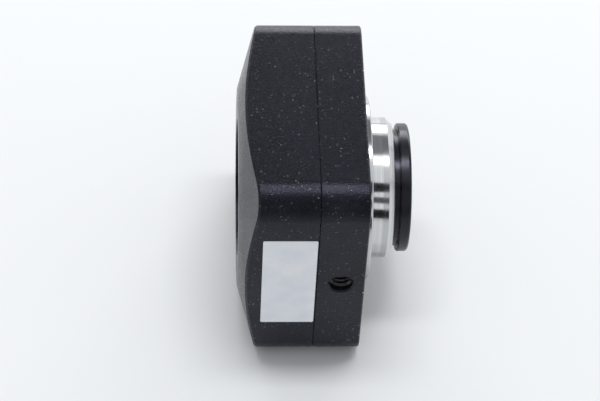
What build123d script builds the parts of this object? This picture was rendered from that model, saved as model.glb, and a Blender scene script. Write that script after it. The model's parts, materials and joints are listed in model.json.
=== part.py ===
from build123d import *
import os

# A cooled astronomy camera, in millimetres, as an assembly of separate pieces.
# +X is the optical axis, out of the lens opening. +Z is up, and the camera lies on its -Z side.
# The origin is the centre of the seat that a lens or adapter rests on.

# ---- Housing
HOUSING_SIDE = 68.0        # square section, seen along the optical axis
CORNER_RADIUS = 8.0
SEAT_HEIGHT = 8.7          # lens seat ahead of the housing front
FRONT_DEPTH = 13.0
REAR_DEPTH = 21.0
FRONT_WALL = 3.0
FRONT_SIDE_WALL = 2.0
REAR_SIDE_WALL = 3.0
REAR_WALL = 1.6
REAR_DISC_RADIUS = 27.6    # flat middle of the back
REAR_SLOPE = 0.284         # forward rise of the back per mm outside the disc
FRONT_EDGE_ROUND = 0.6
REAR_EDGE_BEVEL = 0.5
SPLIT_BEVEL = 0.2
LIP_HEIGHT = 1.2
LIP_CLEARANCE = 0.1
SEAL_WIDTH = 0.6
SEAL_DEPTH = 0.5
SEAL_CLEARANCE = 0.02
CORNER_SCREW_INSET = 7.5
FRONT_BOSS_RADIUS = 4.2
REAR_BOSS_RADIUS = 5.2
SHELL_SCREW_LENGTH = 20.0
LABEL_LENGTH = 14.5
LABEL_HEIGHT = 35.5
LABEL_THICKNESS = 0.15
LABEL_RISE = 1.0           # middle of the label above the optical axis
LABEL_SETBACK = 0.3        # from the split between the shells

# ---- Tripod socket, 1/4-20
TRIPOD_RADIUS = 3.175
TRIPOD_DEPTH = 6.7
TRIPOD_FLOOR = 1.8
TRIPOD_BOSS_RADIUS = 5.0
TRIPOD_COUNTERSINK = 0.425

# ---- Lens mount, 1"-32 thread with a flange focal distance of 17.526
FLANGE_FOCAL = 17.526
FLANGE_OVERHANG = 5.3      # flange past the spigot
FLANGE_THICKNESS = 2.0
FLANGE_BEVEL = 0.3
RING_RADIUS = 19.5
RING_CONE_LENGTH = 1.9
SEAT_RADIUS = 17.6
THREAD_RADIUS = 12.7
THREAD_LENGTH = 4.3
LEAD_IN_RADIUS = 13.1
LEAD_IN_DEPTH = 1.2
SHOULDER_RADIUS = 11.8
SHOULDER_LENGTH = 1.2
SPIGOT_RADIUS = 20.2
SPIGOT_LENGTH = 2.8
SPIGOT_CLEARANCE = 0.05
RING_SCREW_SETOUT = 2.3    # screw circle past the spigot
RING_SCREW_LENGTH = 7.0
ORING_RADIUS = 0.5
MOUNT_ORING_SETBACK = 1.6
WINDOW_RADIUS = 14.0
WINDOW_THICKNESS = 2.0
WINDOW_CLEARANCE = 0.1
RETAINER_THICKNESS = 1.5
RETAINER_BORE = 12.2
RETAINER_NOTCH = 1.6

# ---- Sensor chamber
CHAMBER_RADIUS = 25.0      # outside of the chamber's wall, clear of the screws around it
CHAMBER_GASKET = 0.5
PACKAGE_WIDTH = 24.0
PACKAGE_HEIGHT = 20.0
PACKAGE_WALL = 2.0
PACKAGE_FLOOR = 1.1
PACKAGE_RIM = 0.6          # rim of the package ahead of the sensor surface
DIE_WIDTH = 18.0
DIE_HEIGHT = 13.5
DIE_THICKNESS = 0.4
COVER_GLASS_THICKNESS = 0.7
BOARD_THICKNESS = 1.6
SENSOR_BOARD_HALF = 24.5
SENSOR_SCREW_Y = 22.0
SENSOR_SCREW_Z = 15.8
SENSOR_BOSS_RADIUS = 2.4
SENSOR_SCREW_GRIP = 5.0
DESICCANT_RADIUS = 3.0
DESICCANT_HEIGHT = 3.0
DESICCANT_Z = -16.4

# ---- Cooler and heat sink
COLD_PLATE_SIDE = 20.0
COLD_STEM_SIDE = 12.0
COLD_STEM_HOLE = 14.0
COLD_STEM_REACH = 0.3      # stem past the board's back
COLD_PLATE_THICKNESS = 1.7
COOLER_PLATE_THICKNESS = 0.7
COOLER_PELLET_HEIGHT = 1.8
COOLER_PELLET_SIDE = 1.6
COOLER_PELLET_PITCH = 3.2
COOLER_PELLET_ROWS = 6
FOAM_OUTER = 28.0
FOAM_INNER = 20.6
SINK_BASE_THICKNESS = 2.0
SINK_HALF_Y = 19.3
SINK_HALF_Z = 24.8
FIN_THICKNESS = 0.8
FIN_PITCH = 2.4
FIN_COUNT = 16
FIN_TO_FAN = 0.5
COOLER_SCREW_Y = 16.5
COOLER_SCREW_Z = 22.0
STANDOFF_RADIUS = 2.2
STANDOFF_HOLE = 1.35
STANDOFF_ROOM = 0.7
WIRE_RADIUS = 0.5

# ---- Main board and ports
BOARD_GAP = 1.6            # between the sensor board and the main board
BOARD_EDGE_GAP = 4.0       # from the housing's outside to the main board
BOARD_WINDOW = 30.0
BOARD_POST_Y = 12.0
BOARD_POST_INSET = 6.0
BOARD_POST_RADIUS = 2.6
PORT_RECESS = 0.4
PORT_DEPTH = 13.1
PORT_CLEARANCE = 0.3
PORT_GAPS = (0.1, 0.225, 0.225, 0.225, 0.225)  # shares of the free room, from the top down
USB_WIDTH = 12.0
USB_HEIGHT = 10.4
USB_WALL = 0.8
GUIDE_WIDTH = 13.2
GUIDE_HEIGHT = 10.6
GUIDE_CAVITY_WIDTH = 9.6
GUIDE_CAVITY_HEIGHT = 7.0
GUIDE_CAVITY_DEPTH = 10.5
POWER_WIDTH = 9.0
POWER_HEIGHT = 9.5
POWER_BORE = 3.2
POWER_PIN = 1.05
LIGHT_RADIUS = 0.75

# ---- Fan, 40 mm
FAN_SIDE = 40.0
FAN_DEPTH = 7.0
FAN_CORNER = 3.0
FAN_BORE = 18.9
FAN_SCREW_OFFSET = 16.0
FAN_OPENING = 19.0
FAN_STRUT = 1.0
GUARD_THICKNESS = 1.0
GUARD_BORE = 18.5
GUARD_BAR = 1.2
ROTOR_TIP_RADIUS = 18.2
ROTOR_HUB_RADIUS = 8.2
ROTOR_HUB_WALL = 0.9
ROTOR_GAP = 0.5
BLADE_COUNT = 7
BLADE_PITCH = 38.0
BLADE_CHORD = 8.0
BLADE_THICKNESS = 0.9
MAGNET_THICKNESS = 0.5
STATOR_RADIUS = 6.3
SHAFT_RADIUS = 1.0
SHAFT_CLEARANCE = 0.03
BEARING_RADIUS = 2.0
VENT_COUNT = 5
VENT_PITCH = 4.0
VENT_WIDTH = 2.2
VENT_LENGTH = 12.0
VENT_SETBACK = 4.5

# ---- Dust cap
CAP_SKIRT_RADIUS = 16.1
CAP_SKIRT_LENGTH = 1.4
CAP_RIM_RADIUS = 17.8
CAP_RIM_THICKNESS = 3.0
CAP_EDGE_ROUND = 0.8
CAP_LIP_CLEARANCE = 0.05
CAP_LIP_DEPTH = 0.9
CAP_RECESS_RADIUS = 11.8
CAP_TOP = 2.0
CAP_DISH = 0.3

# ---- Fastener sizes: thread radius, head radius, head height, hex key radius
M3 = (1.5, 2.75, 3.0, 1.44)
M3_FLAT = (1.5, 2.8, 1.3, 1.15)
M25 = (1.25, 2.2, 1.5, 0.9)
M25_FLAT = (1.25, 2.25, 1.0, 0.85)
M2 = (1.0, 1.9, 1.3, 0.85)
THREAD_CLEARANCE = 0.02
HOLE_CLEARANCE = 0.15
HEAD_CLEARANCE = 0.2
HEAD_SINK = 0.3
KEY_DEPTH = 0.55           # share of the head's height

# ---- Planes along the optical axis, from front to back
half = HOUSING_SIDE / 2
front_x = -SEAT_HEIGHT
split_x = front_x - FRONT_DEPTH
rear_x = split_x - REAR_DEPTH
front_inside_x = front_x - FRONT_WALL
flange_face_x = front_x + FLANGE_THICKNESS
rear_inside_x = rear_x + REAR_WALL
thread_end_x = -LEAD_IN_DEPTH - THREAD_LENGTH
shoulder_x = thread_end_x - SHOULDER_LENGTH
window_front_x = shoulder_x - 2 * ORING_RADIUS
window_rear_x = window_front_x - WINDOW_THICKNESS
spigot_end_x = front_x - SPIGOT_LENGTH
counterbore_radius = WINDOW_RADIUS + WINDOW_CLEARANCE
spigot_bore = SPIGOT_RADIUS + SPIGOT_CLEARANCE
flange_radius = SPIGOT_RADIUS + FLANGE_OVERHANG
ring_screw_offset = (SPIGOT_RADIUS + RING_SCREW_SETOUT) * 0.5 ** 0.5

sensor_x = -FLANGE_FOCAL
package_front_x = sensor_x + PACKAGE_RIM
die_seat_x = sensor_x - DIE_THICKNESS
sensor_board_x = die_seat_x - PACKAGE_FLOOR
chamber_end_x = sensor_board_x + CHAMBER_GASKET
sensor_board_back_x = sensor_board_x - BOARD_THICKNESS

main_board_x = sensor_board_back_x - BOARD_GAP
main_board_back_x = main_board_x - BOARD_THICKNESS
cold_plate_x = sensor_board_back_x - COLD_STEM_REACH
cooler_x = cold_plate_x - COLD_PLATE_THICKNESS
pellets_x = cooler_x - COOLER_PLATE_THICKNESS
hot_plate_x = pellets_x - COOLER_PELLET_HEIGHT
sink_x = hot_plate_x - COOLER_PLATE_THICKNESS
sink_back_x = sink_x - SINK_BASE_THICKNESS

guard_front_x = rear_inside_x + GUARD_THICKNESS
fan_front_x = guard_front_x + FAN_DEPTH
rotor_rear_x = guard_front_x + ROTOR_GAP
rotor_front_x = fan_front_x - FAN_STRUT - ROTOR_GAP
fin_end_x = fan_front_x + FIN_TO_FAN

shell_screw_offset = half - CORNER_SCREW_INSET
board_half = half - BOARD_EDGE_GAP
post_z = half - BOARD_POST_INSET
free_room = 2 * (shell_screw_offset - REAR_BOSS_RADIUS) - USB_WIDTH - GUIDE_WIDTH - POWER_WIDTH
usb_z = shell_screw_offset - REAR_BOSS_RADIUS - PORT_GAPS[0] * free_room - USB_WIDTH / 2
light_z = usb_z - USB_WIDTH / 2 - PORT_GAPS[1] * free_room
guide_z = light_z - PORT_GAPS[2] * free_room - GUIDE_WIDTH / 2
power_z = guide_z - GUIDE_WIDTH / 2 - PORT_GAPS[3] * free_room - POWER_WIDTH / 2
port_face_y = half - PORT_RECESS
port_back_y = port_face_y - PORT_DEPTH
tripod_x = (front_x + split_x) / 2
board_notch = shell_screw_offset - REAR_BOSS_RADIUS - PORT_CLEARANCE

# ---- Building blocks
ALONG_X = Rot(0, 90, 0)
AGAINST_X = Rot(0, -90, 0)
FROM_BASE = (Align.CENTER, Align.CENTER, Align.MIN)


def block(x_range, y_range, z_range):
    """A box from its lowest and highest places on each axis."""
    sizes = [high - low for low, high in (x_range, y_range, z_range)]
    middle = [(low + high) / 2 for low, high in (x_range, y_range, z_range)]
    return Pos(*middle) * Box(*sizes)


def centred_block(x_range, y_size, z_size, y=0.0, z=0.0):
    return block(x_range, (y - y_size / 2, y + y_size / 2), (z - z_size / 2, z + z_size / 2))


def rod(radius, x_range, y=0.0, z=0.0):
    """A cylinder along the optical axis."""
    low, high = x_range
    return Pos(low, y, z) * ALONG_X * Cylinder(radius, high - low, align=FROM_BASE)


def tube(outer, inner, x_range, y=0.0, z=0.0):
    return rod(outer, x_range, y, z) - rod(inner, x_range, y, z)


def y_rod(radius, y_range, x, z):
    """A cylinder along Y, for the ports and the tripod socket."""
    low, high = y_range
    return Pos(x, low, z) * Rot(-90, 0, 0) * Cylinder(radius, high - low, align=FROM_BASE)


def prism(side, corner, x_range):
    """A rounded square extruded along the optical axis."""
    low, high = x_range
    return extrude(Plane.YZ.offset(low) * RectangleRounded(side, side, corner), high - low)


def turned(points):
    """A solid turned about the optical axis from (x, radius) points."""
    return revolve(make_face(Polyline(*points, close=True)), axis=Axis.X)


def four(y, z):
    return [(y, z), (-y, z), (-y, -z), (y, -z)]


def screw(size, length, flat=False):
    """A socket screw with its shank along -Z. A flat one has its top at the origin, any other its seat."""
    thread, head, height, key = size
    if flat:
        top = 0.0
        shank = Pos(0, 0, -length) * Cylinder(thread, length - height / 2, align=FROM_BASE)
        body = shank + Pos(0, 0, -height) * Cone(thread, head, height, align=FROM_BASE)
    else:
        top = height
        shank = Pos(0, 0, -length) * Cylinder(thread, length, align=FROM_BASE)
        body = shank + Cylinder(head, height, align=FROM_BASE)
    socket_depth = height * KEY_DEPTH
    return body - Pos(0, 0, top - socket_depth) * extrude(RegularPolygon(key, 6), socket_depth)


def group(pieces):
    return Compound(children=list(pieces))


def at(places, x, turn, piece):
    return group(Pos(x, y, z) * turn * piece for y, z in places)


def wire(points, radius):
    """A lead along straight runs joined by an arc at each corner."""
    path = FilletPolyline(*points, radius=radius) if len(points) > 2 else Line(*points)
    section = Plane(origin=path @ 0, z_dir=path % 0) * Circle(WIRE_RADIUS)
    return sweep(section, path=path)


# ---- Housing pieces
def edges_at(shape, x):
    """The edges that lie in one plane across the optical axis."""
    return [edge for edge in shape.edges() if abs(edge.center().X - x) < 0.01 and edge.bounding_box().size.X < 0.01]


def sloped_back(wall):
    """The round solid whose back is the flat disc and the slope around it, a wall's thickness in."""
    back = rear_x + wall
    reach = HOUSING_SIDE
    slope_end = back + REAR_SLOPE * (reach - REAR_DISC_RADIUS)
    ahead = split_x + LIP_HEIGHT + 1
    return turned([(back, 0), (back, REAR_DISC_RADIUS), (slope_end, reach), (ahead, reach), (ahead, 0)])


def shell_seal(clearance):
    middle = HOUSING_SIDE - FRONT_SIDE_WALL
    corner = CORNER_RADIUS - FRONT_SIDE_WALL / 2
    reach = SEAL_WIDTH / 2 - clearance
    depth = SEAL_DEPTH - clearance
    outer = prism(middle + 2 * reach, corner + reach, (split_x - depth, split_x))
    return outer - prism(middle - 2 * reach, corner - reach, (split_x - depth, split_x))


def make_front_shell():
    shell = prism(HOUSING_SIDE, CORNER_RADIUS, (split_x, front_x))
    shell = fillet(edges_at(shell, front_x), FRONT_EDGE_ROUND)
    shell = chamfer(edges_at(shell, split_x), SPLIT_BEVEL)
    inside = (split_x, front_inside_x)
    shell -= prism(HOUSING_SIDE - 2 * FRONT_SIDE_WALL, CORNER_RADIUS - FRONT_SIDE_WALL, inside)
    shell += rod(CHAMBER_RADIUS, (chamber_end_x, front_inside_x))
    corners = four(shell_screw_offset, shell_screw_offset)
    for y, z in corners:
        shell += rod(FRONT_BOSS_RADIUS, inside, y, z)
    sensor_posts = four(SENSOR_SCREW_Y, SENSOR_SCREW_Z)
    cooler_posts = four(COOLER_SCREW_Y, COOLER_SCREW_Z)
    for y, z in sensor_posts + cooler_posts:
        shell += rod(SENSOR_BOSS_RADIUS, (sensor_board_x, front_inside_x), y, z)
    tripod_floor_y = -half + TRIPOD_DEPTH + TRIPOD_FLOOR
    shell += y_rod(TRIPOD_BOSS_RADIUS, (-half + FRONT_SIDE_WALL / 2, tripod_floor_y), tripod_x, 0)
    shell -= rod(spigot_bore, (sensor_board_x, front_x))
    shell -= y_rod(TRIPOD_RADIUS, (-half, -half + TRIPOD_DEPTH), tripod_x, 0)
    mouth = Cone(TRIPOD_RADIUS + TRIPOD_COUNTERSINK, TRIPOD_RADIUS, TRIPOD_COUNTERSINK, align=FROM_BASE)
    shell -= Pos(tripod_x, -half, 0) * Rot(-90, 0, 0) * mouth
    head_room = M3[2] + HEAD_SINK
    for y, z in corners:
        shell -= rod(M3[1] + HEAD_CLEARANCE, (front_x - head_room, front_x), y, z)
        shell -= rod(M3[0] + HOLE_CLEARANCE, (split_x, front_x), y, z)
    ring_screw_end = flange_face_x - RING_SCREW_LENGTH - THREAD_CLEARANCE
    for y, z in four(ring_screw_offset, ring_screw_offset):
        shell -= rod(M25_FLAT[0] + THREAD_CLEARANCE, (ring_screw_end, front_x), y, z)
    for y, z in sensor_posts:
        shell -= rod(M2[0] + THREAD_CLEARANCE, (sensor_board_x, front_inside_x), y, z)
    for y, z in cooler_posts:
        shell -= rod(M25[0] + THREAD_CLEARANCE, (sensor_board_x, front_inside_x), y, z)
    return shell


def make_rear_shell():
    shell = prism(HOUSING_SIDE, CORNER_RADIUS, (rear_x, split_x)) & sloped_back(0)
    shell = chamfer(edges_at(shell, split_x), SPLIT_BEVEL)
    back_edges = [
        edge for edge in shell.edges()
        if edge.center().X < split_x - REAR_DEPTH / 2
        and edge.bounding_box().size.X < REAR_DEPTH / 4
        and abs(edge.center().X - rear_x) > 0.1
    ]
    shell = chamfer(back_edges, REAR_EDGE_BEVEL)
    lip_side = HOUSING_SIDE - 2 * (FRONT_SIDE_WALL + LIP_CLEARANCE)
    shell += prism(lip_side, CORNER_RADIUS - FRONT_SIDE_WALL - LIP_CLEARANCE, (split_x - 1, split_x + LIP_HEIGHT))
    cavity = prism(HOUSING_SIDE - 2 * REAR_SIDE_WALL, CORNER_RADIUS - REAR_SIDE_WALL, (rear_x, split_x + LIP_HEIGHT))
    shell -= cavity & sloped_back(REAR_WALL)
    outline = sloped_back(REAR_WALL / 2)
    for y, z in four(shell_screw_offset, shell_screw_offset):
        boss = rod(REAR_BOSS_RADIUS, (rear_x, split_x), y, z) & outline
        shell += boss & prism(HOUSING_SIDE - REAR_SIDE_WALL, CORNER_RADIUS - REAR_SIDE_WALL / 2, (rear_x, split_x))
    for y, z in four(BOARD_POST_Y, post_z):
        shell += rod(BOARD_POST_RADIUS, (rear_x, main_board_back_x), y, z) & outline
    shell -= shell_seal(0)
    hole_end = front_x - HEAD_SINK - M3[2] - SHELL_SCREW_LENGTH - THREAD_CLEARANCE
    for y, z in four(shell_screw_offset, shell_screw_offset):
        shell -= rod(M3[0] + THREAD_CLEARANCE, (hole_end, split_x), y, z)
    for y, z in four(BOARD_POST_Y, post_z):
        shell -= rod(M25[0] + THREAD_CLEARANCE, (main_board_back_x - board_screw_reach, main_board_back_x), y, z)
    shell -= rod(FAN_OPENING, (rear_x, rear_inside_x))
    for y, z in four(FAN_SCREW_OFFSET, FAN_SCREW_OFFSET):
        shell -= rod(M3_FLAT[0] + HOLE_CLEARANCE, (rear_x, rear_inside_x), y, z)
        sink = Cone(M3_FLAT[1] + HOLE_CLEARANCE, M3_FLAT[0] + HOLE_CLEARANCE, M3_FLAT[2], align=FROM_BASE)
        shell -= Pos(rear_x, y, z) * ALONG_X * sink
    for x_range, z_range in port_windows():
        shell -= block(x_range, (half - REAR_SIDE_WALL - 1, half + 1), z_range)
    shell -= y_rod(LIGHT_RADIUS + HOLE_CLEARANCE, (half - REAR_SIDE_WALL - 1, half + 1), light_x, light_z)
    vent_end = split_x - VENT_SETBACK
    for k in range(VENT_COUNT):
        y = (k - (VENT_COUNT - 1) / 2) * VENT_PITCH
        slot = SlotOverall(VENT_LENGTH, VENT_WIDTH)
        cut = extrude(Plane.XY.offset(-half - 1) * Pos(vent_end - VENT_LENGTH / 2, y) * slot, REAR_SIDE_WALL + 2)
        shell -= cut
    return shell


def make_shell_screws():
    seat = front_x - HEAD_SINK - M3[2]
    return at(four(shell_screw_offset, shell_screw_offset), seat, ALONG_X, screw(M3, SHELL_SCREW_LENGTH))


def make_label():
    front = split_x - LABEL_SETBACK
    z_range = (LABEL_RISE - LABEL_HEIGHT / 2, LABEL_RISE + LABEL_HEIGHT / 2)
    return block((front - LABEL_LENGTH, front), (-half - LABEL_THICKNESS, -half), z_range)


# ---- Lens end
def make_lens_mount_ring():
    ring = turned([
        (spigot_end_x, counterbore_radius),
        (spigot_end_x, SPIGOT_RADIUS),
        (front_x, SPIGOT_RADIUS),
        (front_x, flange_radius),
        (flange_face_x - FLANGE_BEVEL, flange_radius),
        (flange_face_x, flange_radius - FLANGE_BEVEL),
        (flange_face_x, RING_RADIUS),
        (-RING_CONE_LENGTH, RING_RADIUS),
        (0, SEAT_RADIUS),
        (0, LEAD_IN_RADIUS),
        (-LEAD_IN_DEPTH, LEAD_IN_RADIUS),
        (-LEAD_IN_DEPTH, THREAD_RADIUS),
        (thread_end_x, THREAD_RADIUS),
        (thread_end_x, SHOULDER_RADIUS),
        (shoulder_x, SHOULDER_RADIUS),
        (shoulder_x, counterbore_radius),
    ])
    groove_x = front_x - MOUNT_ORING_SETBACK
    groove = (groove_x - ORING_RADIUS - THREAD_CLEARANCE, groove_x + ORING_RADIUS + THREAD_CLEARANCE)
    groove_floor = spigot_bore - 2 * ORING_RADIUS - 2 * THREAD_CLEARANCE
    ring -= tube(SPIGOT_RADIUS + 1, groove_floor, groove)
    sink = Cone(M25_FLAT[0] + HOLE_CLEARANCE, M25_FLAT[1] + HOLE_CLEARANCE, M25_FLAT[2], align=FROM_BASE)
    for y, z in four(ring_screw_offset, ring_screw_offset):
        ring -= rod(M25_FLAT[0] + HOLE_CLEARANCE, (front_x, flange_face_x), y, z)
        ring -= Pos(flange_face_x - M25_FLAT[2], y, z) * ALONG_X * sink
    return ring


def make_ring_screws():
    places = four(ring_screw_offset, ring_screw_offset)
    return at(places, flange_face_x, ALONG_X, screw(M25_FLAT, RING_SCREW_LENGTH, flat=True))


def o_ring(x, outside):
    """A round sealing ring about the optical axis, from its middle and its outside radius."""
    return Pos(x, 0, 0) * ALONG_X * Torus(outside - ORING_RADIUS, ORING_RADIUS)


def make_window_retainer():
    back = window_rear_x - RETAINER_THICKNESS
    ring = tube(counterbore_radius - THREAD_CLEARANCE, RETAINER_BORE, (back, window_rear_x))
    notch = centred_block((back, back + RETAINER_THICKNESS / 2), 2 * counterbore_radius + 1, RETAINER_NOTCH)
    return ring - notch


def make_dust_cap():
    rim_front = CAP_SKIRT_LENGTH + CAP_RIM_THICKNESS
    dish_radius = CAP_RIM_RADIUS - 3
    lip_radius = LEAD_IN_RADIUS - CAP_LIP_CLEARANCE
    cap = turned([
        (-CAP_LIP_DEPTH, CAP_RECESS_RADIUS),
        (rim_front - CAP_TOP - CAP_DISH, CAP_RECESS_RADIUS),
        (rim_front - CAP_TOP - CAP_DISH, 0),
        (rim_front - CAP_DISH, 0),
        (rim_front - CAP_DISH, dish_radius),
        (rim_front, dish_radius + CAP_DISH),
        (rim_front, CAP_RIM_RADIUS),
        (CAP_SKIRT_LENGTH, CAP_RIM_RADIUS),
        (CAP_SKIRT_LENGTH, CAP_SKIRT_RADIUS),
        (0, CAP_SKIRT_RADIUS),
        (0, lip_radius),
        (-CAP_LIP_DEPTH, lip_radius),
    ])
    outer_edge = [
        edge for edge in edges_at(cap, rim_front) if edge.bounding_box().size.Y > 2 * CAP_RIM_RADIUS - 0.1
    ]
    cap = fillet(outer_edge, CAP_EDGE_ROUND)
    inner_edge = [
        edge for edge in edges_at(cap, CAP_SKIRT_LENGTH) if edge.bounding_box().size.Y > 2 * CAP_RIM_RADIUS - 0.1
    ]
    return chamfer(inner_edge, CAP_DISH)


# ---- Sensor chamber
def make_sensor_package():
    package = centred_block((sensor_board_x, package_front_x), PACKAGE_WIDTH, PACKAGE_HEIGHT)
    well = (die_seat_x, package_front_x)
    return package - centred_block(well, PACKAGE_WIDTH - 2 * PACKAGE_WALL, PACKAGE_HEIGHT - 2 * PACKAGE_WALL)


def make_sensor_board():
    side = 2 * SENSOR_BOARD_HALF
    span = (sensor_board_back_x, sensor_board_x)
    board = centred_block(span, side, side) - centred_block(span, COLD_STEM_HOLE, COLD_STEM_HOLE)
    corner = 2 * (half - shell_screw_offset + FRONT_BOSS_RADIUS + PORT_CLEARANCE)
    for y, z in four(half, half):
        board -= centred_block(span, corner, corner, y, z)
    for y, z in four(COOLER_SCREW_Y, COOLER_SCREW_Z):
        board -= rod(STANDOFF_RADIUS + STANDOFF_ROOM, span, y, z)
    for y, z in four(SENSOR_SCREW_Y, SENSOR_SCREW_Z):
        board -= rod(M2[0] + HOLE_CLEARANCE, span, y, z)
    return board


def make_sensor_board_screws():
    length = BOARD_THICKNESS + SENSOR_SCREW_GRIP
    return at(four(SENSOR_SCREW_Y, SENSOR_SCREW_Z), sensor_board_back_x, AGAINST_X, screw(M2, length))


# ---- Cooler
def make_cold_finger():
    stem = centred_block((cold_plate_x, sensor_board_x), COLD_STEM_SIDE, COLD_STEM_SIDE)
    return stem + centred_block((cooler_x, cold_plate_x), COLD_PLATE_SIDE, COLD_PLATE_SIDE)


def make_cooler_pellets():
    places = [(k - (COOLER_PELLET_ROWS - 1) / 2) * COOLER_PELLET_PITCH for k in range(COOLER_PELLET_ROWS)]
    span = (hot_plate_x, pellets_x)
    return group(centred_block(span, COOLER_PELLET_SIDE, COOLER_PELLET_SIDE, y, z) for y in places for z in places)


lead_x = (main_board_back_x + sink_x) / 2
lead_z = COOLER_PELLET_PITCH
terminal_y = -(FOAM_OUTER / 2 + 4.0)


def make_cooler_foam():
    span = (sink_x, cold_plate_x)
    foam = centred_block(span, FOAM_OUTER, FOAM_OUTER) - centred_block(span, FOAM_INNER, FOAM_INNER)
    for z in (-lead_z, lead_z):
        foam -= y_rod(WIRE_RADIUS + HOLE_CLEARANCE, (-FOAM_OUTER / 2, -FOAM_INNER / 2), lead_x, z)
    return foam


def make_cooler_leads():
    """Two short leads from the hot plate's edge to the terminal on the main board."""
    leads = []
    for z in (-lead_z, lead_z):
        leads.append(y_rod(WIRE_RADIUS, (terminal_y, -COLD_PLATE_SIDE / 2 - 0.1), lead_x, z))
    return group(leads)


def make_cooler_terminal():
    reach = main_board_back_x - 0.8 * (main_board_back_x - sink_x)
    return centred_block((reach, main_board_back_x), 2.0, 4 * lead_z, terminal_y - 1.0)


def make_heat_sink():
    sink = centred_block((sink_back_x, sink_x), 2 * SINK_HALF_Y, 2 * SINK_HALF_Z)
    for k in range(FIN_COUNT):
        y = (k - (FIN_COUNT - 1) / 2) * FIN_PITCH
        sink += centred_block((fin_end_x, sink_back_x), FIN_THICKNESS, 2 * SINK_HALF_Z, y)
    for y, z in four(COOLER_SCREW_Y, COOLER_SCREW_Z):
        sink -= rod(STANDOFF_HOLE, (sink_back_x, sink_x), y, z)
        outward = (z - M25[1] - 1, z + 10) if z > 0 else (z - 10, z + M25[1] + 1)
        room = (y - M25[1] - 0.6, y + M25[1] + 0.6)
        sink -= block((fin_end_x - 1, sink_back_x), room, outward)
    return sink


def make_cooler_standoffs():
    return group(
        tube(STANDOFF_RADIUS, STANDOFF_HOLE, (sink_x, sensor_board_x), y, z)
        for y, z in four(COOLER_SCREW_Y, COOLER_SCREW_Z)
    )


def make_cooler_screws():
    length = front_inside_x - sink_back_x - 1.0
    return at(four(COOLER_SCREW_Y, COOLER_SCREW_Z), sink_back_x, AGAINST_X, screw(M25, length))


# ---- Main board
board_screw_length = 8.0
board_screw_reach = board_screw_length - BOARD_THICKNESS + 1.0
light_x = main_board_back_x - LIGHT_RADIUS
usb_x = (main_board_back_x - USB_HEIGHT, main_board_back_x)
guide_x = (main_board_back_x - GUIDE_HEIGHT, main_board_back_x)
power_x = (main_board_back_x - POWER_HEIGHT, main_board_back_x)


def spread(z, width):
    return (z - width / 2, z + width / 2)


def grown(span, extra):
    return (span[0] - extra, span[1] + extra)


def port_windows():
    """The opening in the +Y wall around each port, as x and z ranges."""
    ports = [(usb_x, usb_z, USB_WIDTH), (guide_x, guide_z, GUIDE_WIDTH), (power_x, power_z, POWER_WIDTH)]
    return [(grown(x, PORT_CLEARANCE), grown(spread(z, width), PORT_CLEARANCE)) for x, z, width in ports]


def make_main_board():
    span = (main_board_back_x, main_board_x)
    board = centred_block(span, 2 * board_half, 2 * board_half) - centred_block(span, BOARD_WINDOW, BOARD_WINDOW)
    corner = 2 * (half - board_notch)
    for y, z in four(half, half):
        board -= centred_block(span, corner, corner, y, z)
    for y, z in four(COOLER_SCREW_Y, COOLER_SCREW_Z):
        board -= rod(STANDOFF_RADIUS + STANDOFF_ROOM, span, y, z)
    for y, z in four(BOARD_POST_Y, post_z):
        board -= rod(M25[0] + HOLE_CLEARANCE, span, y, z)
    return board


def make_board_screws():
    return at(four(BOARD_POST_Y, post_z), main_board_x, ALONG_X, screw(M25, board_screw_length))


chip_y = -(board_half - 5.0)


def make_board_chips():
    back = main_board_back_x
    return group([
        centred_block((back - 1.4, back), 7.0, 7.0, chip_y, -3.0),
        centred_block((back - 1.1, back), 6.0, 9.0, chip_y, -14.0),
    ])


def make_board_link():
    return centred_block((main_board_x, sensor_board_back_x), 3.0, 16.0, -(SENSOR_BOARD_HALF - 4.5))


header_z = 11.0
header_back_x = main_board_back_x - 3.4
fan_lead_x = fan_front_x - FAN_DEPTH / 2
lead_spacing = 2.5


def make_fan_header():
    return centred_block((header_back_x, main_board_back_x), 4.0, 9.0, chip_y, header_z)


def make_fan_leads():
    """Two leads from the fan's side to the header, each with one bend."""
    leads = []
    for z in (header_z - lead_spacing / 2, header_z + lead_spacing / 2):
        start = (fan_lead_x, -FAN_SIDE / 2, z)
        corner = (fan_lead_x, chip_y, z)
        end = (header_back_x, chip_y, z)
        leads.append(wire([start, corner, end], 2.5))
    return group(leads)


def port_shell(x_range, z, width, cavity_x, cavity_width, cavity_depth):
    shell = block(x_range, (port_back_y, port_face_y), spread(z, width))
    return shell - block(cavity_x, (port_face_y - cavity_depth, port_face_y), spread(z, cavity_width))


def make_usb_socket():
    inside = grown(usb_x, -USB_WALL)
    return port_shell(usb_x, usb_z, USB_WIDTH, inside, USB_WIDTH - 2 * USB_WALL, PORT_DEPTH - 3)


def make_usb_insert():
    """The contact tongue with the narrower one above it."""
    middle = sum(usb_x) / 2
    tongue = (port_face_y - PORT_DEPTH + 3, port_face_y - 1)
    lower = block((middle - 2.6, middle + 0.4), tongue, spread(usb_z, 5.6))
    upper = block((middle + 2.0, middle + 3.1), tongue, spread(usb_z, 5.0))
    return group([lower, upper])


def make_guide_socket():
    inside = spread(sum(guide_x) / 2, GUIDE_CAVITY_HEIGHT)
    return port_shell(guide_x, guide_z, GUIDE_WIDTH, inside, GUIDE_CAVITY_WIDTH, GUIDE_CAVITY_DEPTH)


def make_guide_contacts():
    floor_x = sum(guide_x) / 2 + GUIDE_CAVITY_HEIGHT / 2
    reach = (port_face_y - GUIDE_CAVITY_DEPTH, port_face_y - 2.5)
    return group(
        block((floor_x - 0.6, floor_x), reach, spread(guide_z + (k - 2.5) * 1.02, 0.5)) for k in range(6)
    )


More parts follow.
